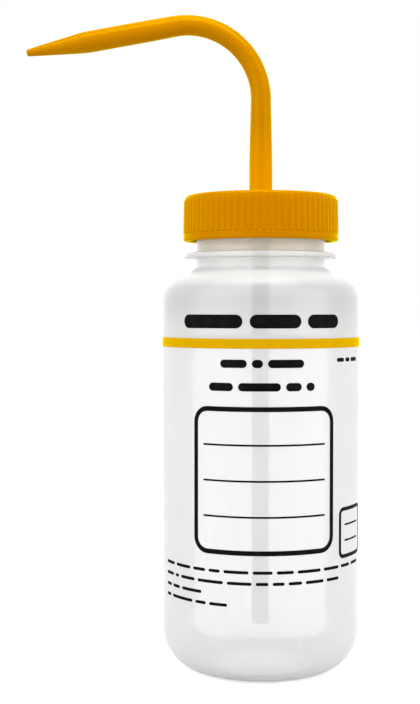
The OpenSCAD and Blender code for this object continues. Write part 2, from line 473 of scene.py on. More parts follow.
@dataclass(frozen=True)
class MilkyPlastic:
    """Natural low-density polyethylene: it scatters light through and lets some straight through.

    Attributes:
        name: The material's name.
        colour: Colour of the scattered light, linear.
        cloudy: Its colour in the cloudier patches, linear.
        tones: Painted light and shade that follow it upwards, as two heights in metres between which each
            one fades in, and the colour, linear.
        clear: Share of light that passes straight through one face.
        through: Share of the scattered light that leaves on the other side.
        rough: Lowest and highest roughness of the outer skin.
        glossy: False for an inner face, which has no gloss of its own.
        mirror: Index that sets how the mirror reflection grows towards the edges.
        cloud_scale: Scale of the cloudiness.
        cloud_share: Most that the cloudier colour takes.
        wave_scale: Scale of the skin's waviness.
        wave_h: Height of the waviness, in metres.
        wave_share: Strength of its effect.
        drawn: Factors along Z that draw out the cloudiness and the waviness.
    """

    name: str
    colour: tuple[float, float, float]
    cloudy: tuple[float, float, float]
    tones: tuple[tuple[float, float, tuple[float, float, float]], ...]
    clear: float
    through: float
    rough: tuple[float, float] = (0.32, 0.36)
    glossy: bool = True
    mirror: float = 1.45
    cloud_scale: float = 26.0
    cloud_share: float = 0.15
    wave_scale: float = 30.0
    wave_h: float = 0.2 * MM
    wave_share: float = 0.4
    drawn: tuple[float, float] = (0.35, 0.4)

    def build(self) -> bpy.types.Material:
        """Makes the material."""
        bench = NodeBench(bpy.data.materials.new(self.name))
        height = bench.part(bench.coords(), "Z")
        cloud = bench.noise(bench.coords((1.0, 1.0, self.drawn[0])), self.cloud_scale, 2.0)
        wave = bench.noise(bench.coords((1.0, 1.0, self.drawn[1])), self.wave_scale, 0.0)
        normal = bench.bump(wave, self.wave_h, self.wave_share)
        tint = bench.blend(bench.spread(cloud, 0.0, self.cloud_share, 0.0, 1.0), self.colour, self.cloudy)
        # Painted light and shade by height: each tone fades in upwards over the wall's own colour.
        for low, high, tone in self.tones:
            tint = bench.blend(bench.spread(height, 0.0, 1.0, low, high), tint, tone)
        dull = bench.add("ShaderNodeBsdfDiffuse", Color=tint, Normal=normal)
        glow = bench.add("ShaderNodeBsdfTranslucent", Color=tint, Normal=normal)
        scatter = bench.mix(self.through, dull.outputs["BSDF"], glow.outputs["BSDF"])
        straight = bench.add("ShaderNodeBsdfTransparent")
        wall = bench.mix(self.clear, scatter, straight.outputs["BSDF"])
        if not self.glossy:
            return bench.finish(wall)
        rough = bench.spread(wave, *self.rough, 0.0, 1.0)
        return bench.finish(bench.coated(wall, WHITE, self.mirror, rough, normal))


@dataclass(frozen=True)
class PrintedInk:
    """Screen-printed ink: an even film with a faint mesh texture and soft gloss.

    Attributes:
        name: The material's name.
        colour: Main colour, linear.
        worn: Colour in the thinner spots, linear.
        gloss: Tint of the mirror reflection, linear.
        mirror: Index that sets how the mirror reflection grows towards the edges.
        rough: Lowest and highest roughness of the film.
        patch_scale: Scale of the thinner spots.
        grain_scale: Scale of the mesh texture.
        grain_h: Height of the mesh texture, in metres.
        grain_share: Strength of its effect.
    """

    name: str
    colour: tuple[float, float, float]
    worn: tuple[float, float, float]
    gloss: tuple[float, float, float] = (0.2, 0.2, 0.2)
    mirror: float = 1.3
    rough: tuple[float, float] = (0.45, 0.57)
    patch_scale: float = 320.0
    grain_scale: float = 2600.0
    grain_h: float = 0.01 * MM
    grain_share: float = 0.4

    def build(self) -> bpy.types.Material:
        """Makes the material."""
        bench = NodeBench(bpy.data.materials.new(self.name))
        place = bench.coords()
        patch = bench.noise(place, self.patch_scale, 3.0)
        grain = bench.noise(place, self.grain_scale, 1.0)
        normal = bench.bump(grain, self.grain_h, self.grain_share)
        rough = bench.spread(patch, *self.rough, 0.0, 1.0)
        colour = bench.blend(bench.spread(patch, 0.0, 1.0, 0.45, 0.8), self.colour, self.worn)
        film = bench.add("ShaderNodeBsdfPrincipled", Base_Color=colour, Roughness=rough,
                         Specular_IOR_Level=0.0, Normal=normal)
        return bench.finish(bench.coated(film.outputs["BSDF"], self.gloss, self.mirror, rough, normal))


# ---------------------------------------------------------------- the frame's own measures


@dataclass(frozen=True)
class Frame:
    """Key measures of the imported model, read from its nodes' boxes."""

    body_r: float
    rim_z: float
    cap_r: float
    cap_low: float
    cap_high: float
    washer_r: float
    washer_low: float
    washer_high: float
    spout_low: float
    spout_high: float
    dip_r: float
    dip_low: float
    dip_high: float

    @classmethod
    def read(cls) -> Self:
        """Reads the boxes of the five nodes."""
        bottle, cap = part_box("bottle"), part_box("screw_cap")
        washer, spout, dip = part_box("sealing_washer"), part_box("spout"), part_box("dip_tube")
        return cls(body_r=bottle[1].x, rim_z=bottle[1].z,
                   cap_r=cap[1].x, cap_low=cap[0].z, cap_high=cap[1].z,
                   washer_r=washer[1].x, washer_low=washer[0].z, washer_high=washer[1].z,
                   spout_low=spout[0].z, spout_high=spout[1].z,
                   dip_r=dip[1].x, dip_low=dip[0].z, dip_high=dip[1].z)


def dress(piece: bpy.types.Object, material: bpy.types.Material, body: str, slot: str,
          *nodes: str) -> bpy.types.Object:
    """Gives a piece its material and body, and hides the nodes that it replaces.

    Args:
        piece: The object.
        material: Its finish.
        body: The body it moves with.
        slot: Not used.
        *nodes: Nodes that it replaces.

    Returns:
        The same object.
    """
    piece.data.materials.append(material)
    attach(piece, body)
    if nodes:
        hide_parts(*nodes)
    LOG.info("%s: %d faces on %s", piece.name, len(piece.data.polygons), body)
    return piece


# ---------------------------------------------------------------- the bottle


@dataclass
class Bottle:
    """Blow-moulded body with a round heel, a hollow base, a shoulder, and a neck with a bead.

    Attributes:
        frame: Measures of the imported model.
        finish: The wall's finish outside.
        lining: Its finish inside.
        inset: How far the wall lies inside the frame's radius, which leaves room for the ink.
        parting: How far the mould's parting line stands out of the wall: less than the ink does.
        parting_deg: Half its width round the axis.
        flank_deg: Where its flanks have a column of their own.
        parting_z: Heights between which it rises out of the heel.
        shoulder_z: Top of the straight wall.
        edge_round: Radius from the wall to the shoulder's slope.
        slope_deg: The shoulder's slope.
        stand_r: Radius of the ring that the bottle stands on.
        stand_w: Width of that ring.
        stand_round: Radius of its inner edge.
        heel_h: Height of the round heel.
        pushup: Height of the base's middle.
        dome_fall: Share of that height which is lost at the edge of the base's dome.
        dome_gap: Space between the dome and the ring.
        wall: Thickness of the wall.
        base_wall: Thickness of the base.
        neck_r: Radius of the neck.
        neck_wall: Thickness of the neck.
        fillet: Radius between the shoulder's slope and the neck.
        bead_r: Radius of the neck's bead.
        bead_t: Its thickness.
        bead_edge: Radius of its edges.
        bead_under: Radius between its lower face and the neck.
        bead_drop: How far its lower face lies below the rim.
        rim_round: Radius of the rim's outer edge.
        mouth_round: Radius of the rim's inner edge.
        pitch: Rise of the neck's ridge in one turn.
        turns: Its number of turns.
        ridge_h: Height of the ridge.
        ridge_root: Width at its root.
        ridge_crest: Width at its crest.
        ridge_gap: Space between its upper end and the rim.
        thread_step: Spacing of the rows that carry it.
        columns: Number of even columns round the axis.
    """

    frame: Frame
    finish: MilkyPlastic
    lining: MilkyPlastic
    inset: float = 0.07 * MM
    parting: float = 0.025 * MM
    parting_deg: float = 0.9
    flank_deg: float = 0.35
    parting_z: tuple[float, float] = (3 * MM, 9 * MM)
    shoulder_z: float = 141.5 * MM
    edge_round: float = 10 * MM
    slope_deg: float = 22.0
    stand_r: float = 24.2 * MM
    stand_w: float = 2 * MM
    stand_round: float = 0.6 * MM
    heel_h: float = 15.7 * MM
    pushup: float = 2.6 * MM
    dome_fall: float = 0.55
    dome_gap: float = 1 * MM
    wall: float = 1.1 * MM
    base_wall: float = 1.5 * MM
    neck_r: float = 24.9 * MM
    neck_wall: float = 1.8 * MM
    fillet: float = 1.6 * MM
    bead_r: float = 29.4 * MM
    bead_t: float = 1.9 * MM
    bead_edge: float = 0.45 * MM
    bead_under: float = 0.5 * MM
    bead_drop: float = 19.35 * MM
    rim_round: float = 0.5 * MM
    mouth_round: float = 0.4 * MM
    pitch: float = 4.233 * MM
    turns: float = 1.5
    ridge_h: float = 1.5 * MM
    ridge_root: float = 2.3 * MM
    ridge_crest: float = 0.9 * MM
    ridge_gap: float = 0.4 * MM
    thread_step: float = 0.25 * MM
    columns: int = 240

    @property
    def wall_r(self) -> float:
        """Outer radius of the straight wall between the parting lines."""
        return self.frame.body_r - self.inset

    @property
    def bead_z(self) -> float:
        """Height of the bead's lower face."""
        return self.frame.rim_z - self.bead_drop

    @property
    def thread(self) -> Thread:
        """The neck's ridge, which ends a little below the rim."""
        top = self.frame.rim_z - self.ridge_root / 2 - self.ridge_gap
        return Thread(self.pitch, self.turns, self.ridge_h, top - self.turns * self.pitch,
                      self.ridge_root, self.ridge_crest)

    def angles(self) -> np.ndarray:
        """Even angles round the axis, with extra ones that draw the parting line at each side."""
        even = np.arange(self.columns) * TAU / self.columns
        edge, flank = self.parting_deg, self.flank_deg
        fine = np.radians([-edge, -flank, flank, edge])
        return np.unique(np.concatenate([even, fine % TAU, fine + math.pi]).round(9))

    def dome(self, points: int) -> np.ndarray:
        """Outline of the base's middle: its height falls with the square of the radius."""
        radius = np.linspace(0, self.stand_r - self.stand_w - self.dome_gap, points)
        height = self.pushup * (1 - self.dome_fall * (radius / radius[-1]) ** 2)
        return np.stack([radius, height], axis=1)

    def fillet_arc(self, radius: float, inset: float) -> np.ndarray:
        """Round between the shoulder's slope and the neck: an arc that touches both lines.

        Args:
            radius: Radius of the neck's surface.
            inset: How far the slope lies below the outer one, measured upright.

        Returns:
            Points from the slope up to the neck.
        """
        slope = math.radians(self.slope_deg)
        start_r = self.wall_r - self.edge_round * (1 - math.sin(slope))
        start_z = self.shoulder_z + self.edge_round * math.cos(slope) - inset
        foot = start_z + (start_r - radius) * math.tan(slope)
        turn = math.radians(90 - self.slope_deg)
        centre = (radius + self.fillet, foot + self.fillet * math.tan(turn / 2))
        return arc(centre, (self.fillet, self.fillet), 270 - self.slope_deg, 180, 8)

    def outside(self) -> np.ndarray:
        """Outer outline from the base's middle up to the outer edge of the rim."""
        bead, rim, e = self.bead_z, self.frame.rim_z, self.bead_edge
        corner = self.bead_under
        ring = arc((self.stand_r - self.stand_w - 0.1 * MM, self.stand_round),
                   (self.stand_round, self.stand_round), -180, -90, 3)
        heel = arc((self.stand_r, self.heel_h), (self.wall_r - self.stand_r, self.heel_h), -90, 0, 28)
        wall = along([(self.wall_r, self.heel_h), (self.wall_r, self.shoulder_z)], 6 * MM)[1:-1]
        shoulder = arc((self.wall_r - self.edge_round, self.shoulder_z),
                       (self.edge_round, self.edge_round), 0, 90 - self.slope_deg, 20)
        under = arc((self.neck_r + corner, bead - corner), (corner, corner), 180, 90, 3)
        lower = arc((self.bead_r - e, bead + e), (e, e), -90, 0, 4)
        upper = arc((self.bead_r - e, bead + self.bead_t - e), (e, e), 0, 80, 4)
        neck = along([(self.neck_r, bead + self.bead_t + 0.6 * MM),
                      (self.neck_r, rim - self.rim_round)], self.thread_step)
        lip = arc((self.neck_r - self.rim_round, rim - self.rim_round),
                  (self.rim_round, self.rim_round), 15, 90, 4)
        return np.concatenate([self.dome(12), ring, heel, wall, shoulder,
                               self.fillet_arc(self.neck_r, 0.0), under, lower, upper, neck, lip])

    def inside(self) -> np.ndarray:
        """Inner outline from the rim's inner edge down to the middle of the base."""
        mouth_r, inner_r = self.neck_r - self.neck_wall, self.wall_r - self.wall
        lip = arc((mouth_r + self.mouth_round, self.frame.rim_z - self.mouth_round),
                  (self.mouth_round, self.mouth_round), 90, 180, 3)
        neck = self.fillet_arc(mouth_r, self.wall / math.cos(math.radians(self.slope_deg)))[::-1]
        shoulder = arc((self.wall_r - self.edge_round, self.shoulder_z),
                       (self.edge_round - self.wall, self.edge_round - self.wall),
                       90 - self.slope_deg, 0, 14)
        wall = along([(inner_r, self.shoulder_z), (inner_r, self.heel_h)], 12 * MM)[1:-1]
        heel = arc((self.stand_r, self.heel_h),
                   (inner_r - self.stand_r, self.heel_h - self.base_wall), 0, -90, 20)
        dome = self.dome(10)[::-1] + np.array([0.0, self.base_wall])
        return np.concatenate([lip, neck, shoulder, wall, heel, dome])

    def shell(self) -> Grid:
        """The whole wall: the outer outline, then the inner one, turned about the axis.

        The thread's ridge is added to the neck's rows. The parting line falls evenly from its
        middle to its edges and rises smoothly out of the heel.
        """
        outer = self.outside()
        outline = np.concatenate([outer, self.inside()])
        angles = self.angles()
        on_neck = np.abs(outline[:, 0] - self.neck_r) < 0.01 * MM
        on_neck &= outline[:, 1] > self.bead_z + self.bead_t
        ridge = self.thread.bulge(outline[:, 1], angles) * on_neck[:, None]
        side = np.abs((angles + math.pi / 2) % math.pi - math.pi / 2)
        line = np.clip(1 - side / math.radians(self.parting_deg), 0, 1) * self.parting
        low, high = self.parting_z
        share = np.zeros(len(outline))
        share[:len(outer)] = smooth_step((outer[:, 1] - low) / (high - low))
        share[:len(outer)] *= outer[:, 0] > self.neck_r + 1 * MM
        share[:len(outer)] *= outer[:, 1] < self.shoulder_z + self.edge_round
        return Grid(revolve(outline, angles, ridge + share[:, None] * line[None]),
                    pole_start=True, pole_end=True)

    def build(self) -> bpy.types.Object:
        """Makes the bottle's object and dresses it, with the lining on the inner faces."""
        piece = make_piece("bottle_shell", [self.shell()])
        dress(piece, self.finish.build(), "bottle", "bottle_plastic", "bottle")
        piece.data.materials.append(self.lining.build())
        first = np.zeros(len(piece.data.polygons), int)
        piece.data.polygons.foreach_get("loop_start", first)
        corner = np.zeros(len(piece.data.loops), int)
        piece.data.loops.foreach_get("vertex_index", corner)
        inner = corner[first] > (len(self.outside()) - 1) * len(self.angles())
        piece.data.polygons.foreach_set("material_index", inner.astype(np.int32))
        return piece


# ---------------------------------------------------------------- the print on the bottle


@dataclass(frozen=True)
class Row:
    """A row of plain bars with round ends, in millimetres.

    Attributes:
        start: Where it begins, as distance round the wall from the front.
        height: Height of its middle.
        thick: Height of each bar.
        gap: Space between two bars.
        bars: Length of each bar.
    """

    start: float
    height: float
    thick: float
    gap: float
    bars: tuple[float, ...]


@dataclass(frozen=True)
class Panel:
    """A blank panel with round corners and evenly spaced ruled lines, in millimetres.

    Attributes:
        centre: Its middle, as distance round the wall from the front and height.
        half: Half its width and height.
        corner: Radius of its corners.
        thick: Width of its outline.
        lines: Number of ruled lines.
        rule: Width of each line.
    """

    centre: tuple[float, float]
    half: tuple[float, float]
    corner: float
    thick: float
    lines: int
    rule: float = 0.7


@dataclass
class LabelPrint:
    """Screen print on the bottle: a colour band, plain bars in rows, and two blank ruled panels.

    A mark is drawn flat, as distance round the wall from the front and height, and then wrapped:
    x is the radius times the sine of distance over radius, and y is minus the cosine likewise.

    Attributes:
        wall_r: Radius of the wall that carries the print.
        ink: Finish of the dark marks.
        colour: Finish of the band.
        film: How far the ink stands out of the wall, and twice how far it is sunk into it.
        band: Heights of the band's edges.
        heading: Thick bars under the shoulder.
        lines: Bars below the band.
        level: Small bars at the right.
        panel: Large panel at the front.
        tab: Small panel at its lower right.
        note: Rows of thin bars near the foot.
    """

    wall_r: float
    ink: PrintedInk
    colour: PrintedInk
    film: float = 0.03 * MM
    band: tuple[float, float] = (123.6 * MM, 127.2 * MM)
    heading: Row = Row(-33, 133.4, 5.0, 2.6, (25, 19, 14.4))
    lines: tuple[Row, Row] = (Row(-16.4, 118.2, 3.0, 1.8, (10, 4, 13.5)),
                              Row(-21, 109.8, 3.0, 1.9, (9.5, 15.5, 6, 3.4)))
    level: Row = Row(30, 119.2, 1.5, 1.1, (4.4, 3, 5.6))
    panel: Panel = Panel((0.2, 75.8), (27, 26), 5, 1.8, 3)
    tab: Panel = Panel((41, 55), (8.8, 8.8), 2, 1.4, 2)
    note: tuple[Row, ...] = (
        Row(-46, 42.8, 1.15, 1.5, (6.5, 8.2, 5.6, 4.6, 9.4, 7.2, 6.4, 9.6, 7.8, 6.0, 6.6)),
        Row(-46, 38.7, 1.15, 1.5, (5.8, 2.2, 7.4, 10.8, 9.2, 4.6, 4.4, 5.2, 7.8, 6.4)),
        Row(-46, 34.5, 1.15, 1.5, (4.0, 4.6, 10.0)),
        Row(-46, 30.6, 1.15, 1.5, (3.6, 12.2, 4.8, 7.2)))

    @property
    def skins(self) -> tuple[float, float]:
        """Radii of the film's outer and inner faces."""
        return self.wall_r + self.film, self.wall_r - self.film / 2

    def wrap(self, around: np.ndarray, height: np.ndarray, radius: np.ndarray) -> np.ndarray:
        """Wraps flat places onto a cylinder about the axis."""
        angle = around / self.wall_r
        return np.stack([radius * np.sin(angle), -radius * np.cos(angle), height], axis=-1)

    def stroke(self, path: np.ndarray, half: np.ndarray, loop: bool) -> Grid:
        """A film of ink along a flat path: its edges lie half a width to each side of it.

        Args:
            path: Flat points.
            half: Half the width at each point.
            loop: True if the path closes on itself.

        Returns:
            A closed grid with four points round its section.
        """
        ahead = np.roll(path, -1, axis=0) - np.roll(path, 1, axis=0)
        if not loop:
            ahead[0], ahead[-1] = path[1] - path[0], path[-1] - path[-2]
        ahead /= np.linalg.norm(ahead, axis=1, keepdims=True)
        side = np.stack([-ahead[:, 1], ahead[:, 0]], axis=1)
        across = np.array([1, -1, -1, 1])
        flat = path[:, None] + side[:, None] * (half[:, None] * across[None])[..., None]
        out, sunk = self.skins
        radius = np.repeat([[out, out, sunk, sunk]], len(path), axis=0)
        if not loop:
            ends = [np.repeat(end, 4, axis=1) for end in (path[:1, None], path[-1:, None])]
            middle = np.full((1, 4), (out + sunk) / 2)
            flat = np.concatenate([ends[0], flat, ends[1]])
            radius = np.concatenate([middle, radius, middle])
        return Grid(self.wrap(flat[..., 0], flat[..., 1], radius), loop=loop,
                    pole_start=not loop, pole_end=not loop)

    def bar(self, left: float, right: float, height: float, thick: float) -> Grid:
        """A level bar from left to right round the wall, with ends that follow half a circle."""
        half = thick / 2
        end_x = half * (1 - np.cos(np.radians(np.linspace(8, 90, 6))))[:-1]
        end_w = half * np.sqrt(1 - (1 - end_x / half) ** 2)
        middle = np.linspace(left + half, right - half, max(int((right - left) / (1.2 * MM)), 2))
        x = np.concatenate([left + end_x, middle, right - end_x[::-1]])
        w = np.concatenate([end_w, np.full(len(middle), half), end_w[::-1]])
        return self.stroke(np.stack([x, np.full(len(x), height)], axis=1), w, loop=False)

    def row(self, row: Row) -> list[Grid]:
        """A row's bars, one after another."""
        lefts = row.start + np.concatenate([[0], np.cumsum(np.add(row.bars, row.gap))[:-1]])
        return [self.bar(left * MM, (left + bar) * MM, row.height * MM, row.thick * MM)
                for left, bar in zip(lefts, row.bars)]

    def outline(self, panel: Panel) -> Grid:
        """A panel's outline: four quarter circles joined by straight lines."""
        centre, half = np.array(panel.centre) * MM, np.array(panel.half) * MM
        corner = panel.corner * MM
        quarters = []
        for k, signs in enumerate([(1, 1), (-1, 1), (-1, -1), (1, -1)]):
            middle = centre + np.array(signs) * (half - corner)
            quarters.append(arc(tuple(middle), (corner, corner), 90 * k, 90 * k + 90, 6))
        path = along(np.concatenate(quarters + [quarters[0][:1]]), 1.5 * MM)[:-1]
        return self.stroke(path, np.full(len(path), panel.thick * MM / 2), loop=True)

    def ruled(self, panel: Panel) -> list[Grid]:
        """A panel's outline and its ruled lines, which stop short of it."""
        (x, z), (half_w, half_h) = panel.centre, panel.half
        reach = half_w - panel.thick - 2.2 * panel.rule
        heights = z + half_h * (1 - 2 * np.arange(1, panel.lines + 1) / (panel.lines + 1))
        return [self.outline(panel)] + [
            self.bar((x - reach) * MM, (x + reach) * MM, height * MM, panel.rule * MM)
            for height in heights]

    def dark_marks(self) -> dict[str, list[Grid]]:
        """The dark marks by name, each a list of films."""
        return {
            "print_heading": self.row(self.heading),
            "print_lines": [bar for row in self.lines for bar in self.row(row)],
            "print_level": self.row(self.level),
            "print_panel": self.ruled(self.panel),
            "print_tab": self.ruled(self.tab),
            "print_note": [bar for row in self.note for bar in self.row(row)],
        }

    def colour_band(self) -> Grid:
        """The band: a thin ring with a rectangular section."""
        low, high = self.band
        out, sunk = self.skins
        outline = np.array([(sunk, low), (out, low), (out, high), (sunk, high)])
        return Grid(revolve(outline, np.arange(240) * TAU / 240), loop=True)

    def build(self) -> None:
        """Makes the print's objects and dresses them."""
        dark = self.ink.build()
        for name, grids in self.dark_marks().items():
            dress(make_piece(name, grids), dark, "bottle", "print_ink")
        dress(make_piece("colour_band", [self.colour_band()]), self.colour.build(), "bottle", "band_ink")


# ---------------------------------------------------------------- the closure


@dataclass
class ScrewCap:
    """Ribbed screw cap with a plain band, a rounded upper edge and an inner thread.

    Attributes:
        frame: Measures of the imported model.
        finish: The cap's finish.
        neck_thread: The ridge on the neck that it turns on.
        rib_count: Number of ribs.
        rib_depth: Depth of the grooves between them.
        rib_lift: Value added to the cosine that shapes a rib, which widens it.
        rib_span: Value that the sum is divided by, which steepens its flanks as it shrinks.
        draft: How much the ribbed part narrows over the cap's height.
        band_h: Height of the plain band below the ribs.
        band_edge: Radius of its lower edge.
        brow_h: Height of the rounded upper edge.
        brow_w: Width of that edge.
        step: Small steps between the ribs and the plain parts.
        bore_r: Radius inside the skirt.
        plate_t: Thickness of the roof.
        land_h: Depth of the lands under it.
        land_r: Inner radius of the land round the spout's flange.
        land_w: Its width.
        mouth_r: Inner radius of the land over the neck's rim.
        hole_r: Radius of the spout's hole.
        hole_round: Radius of its upper edge.
        per_rib: Columns to each rib.
    """

    frame: Frame
    finish: MouldedPlastic
    neck_thread: Thread
    rib_count: int = 72
    rib_depth: float = 0.36 * MM
    rib_lift: float = 0.9
    rib_span: float = 1.5
    draft: float = 0.25 * MM
    band_h: float = 2.9 * MM
    band_edge: float = 0.7 * MM
    brow_h: float = 1.8 * MM
    brow_w: float = 2.1 * MM
    step: float = 0.05 * MM
    bore_r: float = 26.75 * MM
    plate_t: float = 1.9 * MM
    land_h: float = 1.3 * MM
    land_r: float = 11.3 * MM
    land_w: float = 2 * MM
    mouth_r: float = 23.1 * MM
    hole_r: float = 4.55 * MM
    hole_round: float = 0.3 * MM
    per_rib: int = 8

    def profile(self) -> np.ndarray:
        """Closed outline as rows of radius, height, share of ribs and share of thread."""
        low, top = self.frame.cap_low, self.frame.cap_high
        ribs_z, brow_z = low + self.band_h, top - self.brow_h
        plate, land = top - self.plate_t, top - self.plate_t - self.land_h
        band_r, root_r = self.frame.cap_r - self.step, self.frame.cap_r - self.rib_depth
        slim_r = root_r - self.draft * (brow_z - low) / (top - low)
        e, hole_e = self.band_edge, self.hole_round

        def rows(points: np.ndarray | list, rib: float = 0.0, thread: float = 0.0) -> np.ndarray:
            """Adds the two shares to an outline's points."""
            place = np.asarray(points, float)
            return np.column_stack([place, np.full(len(place), rib), np.full(len(place), thread)])

        band = [rows([(self.bore_r + 0.5 * MM, low), (band_r - e, low)]),
                rows(arc((band_r - e, low + e), (e, e), -60, 0, 3)),
                rows([(band_r, ribs_z - 0.3 * MM), (root_r + self.step, ribs_z)])]
        grip = rows(along([(root_r, ribs_z + self.step), (slim_r, brow_z - 0.25 * MM)], 2 * MM), rib=1.0)
        brow = [rows([(slim_r, brow_z)]),
                rows(arc((slim_r - self.brow_w, brow_z + 0.1 * MM),
                         (self.brow_w, self.brow_h - 0.1 * MM), 4, 90, 10))]
        roof = [rows(along([(slim_r - self.brow_w, top), (self.hole_r + 0.4 * MM, top)], 3 * MM)[1:]),
                rows(arc((self.hole_r + hole_e, top - hole_e), (hole_e, hole_e), 120, 180, 2))]
        under = rows([(self.hole_r, plate), (self.land_r, plate), (self.land_r, land),
                      (self.land_r + self.land_w, land), (self.land_r + self.land_w, plate),
                      (self.mouth_r, plate), (self.mouth_r, land), (self.bore_r, land)])
        skirt = rows(along([(self.bore_r, land - 0.3 * MM), (self.bore_r, low + 0.7 * MM)], 0.3 * MM),
                     thread=1.0)
        return np.concatenate([*band, grip, *brow, *roof, under, skirt])

    def shell(self) -> Grid:
        """The cap: its outline turned about the axis, plus the ribs outside and the thread inside.

        Across a rib the height is the smooth step of the cosine of the rib count times the angle,
        plus the lift, over the span. That leaves broad round ribs and narrow grooves.
        """
        rows = self.profile()
        count = self.rib_count * self.per_rib
        angles = np.arange(count) * TAU / count
        wave = smooth_step((np.cos(self.rib_count * angles) + self.rib_lift) / self.rib_span)
        bulge = rows[:, 2:3] * wave[None] * self.rib_depth
        bulge += rows[:, 3:4] * self.neck_thread.mate().bulge(rows[:, 1], angles)
        return Grid(revolve(rows[:, :2], angles, bulge), loop=True)

    def build(self) -> bpy.types.Object:
        """Makes the cap's object and dresses it."""
        piece = make_piece("ribbed_cap", [self.shell()], 30.0)
        return dress(piece, self.finish.build(), "cap", "cap_plastic", "screw_cap")


@dataclass
class Washer:
    """Soft sealing washer with rounded edges.

    Attributes:
        frame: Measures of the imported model.
        finish: The washer's finish.
        hole_r: Radius of its hole.
        edge: Radius of its edges.
    """

    frame: Frame
    finish: MouldedPlastic
    hole_r: float = 4.75 * MM
    edge: float = 0.3 * MM

    def shell(self) -> Grid:
        """A ring whose section is a rectangle with rounded corners."""
        e = self.edge
        low, high = self.frame.washer_low + e, self.frame.washer_high - e
        inner, outer = self.hole_r + e, self.frame.washer_r - e
        corners = [(inner, low, 180), (outer, low, 270), (outer, high, 0), (inner, high, 90)]
        outline = np.concatenate([arc((radius, height), (e, e), turn, turn + 90, 3)
                                  for radius, height, turn in corners])
        return Grid(revolve(outline, np.arange(144) * TAU / 144), loop=True)

    def build(self) -> bpy.types.Object:
        """Makes the washer's object and dresses it."""
        piece = make_piece("soft_washer", [self.shell()])
        return dress(piece, self.finish.build(), "seal", "washer_plastic", "sealing_washer")


# ---------------------------------------------------------------- the spout and dip tube


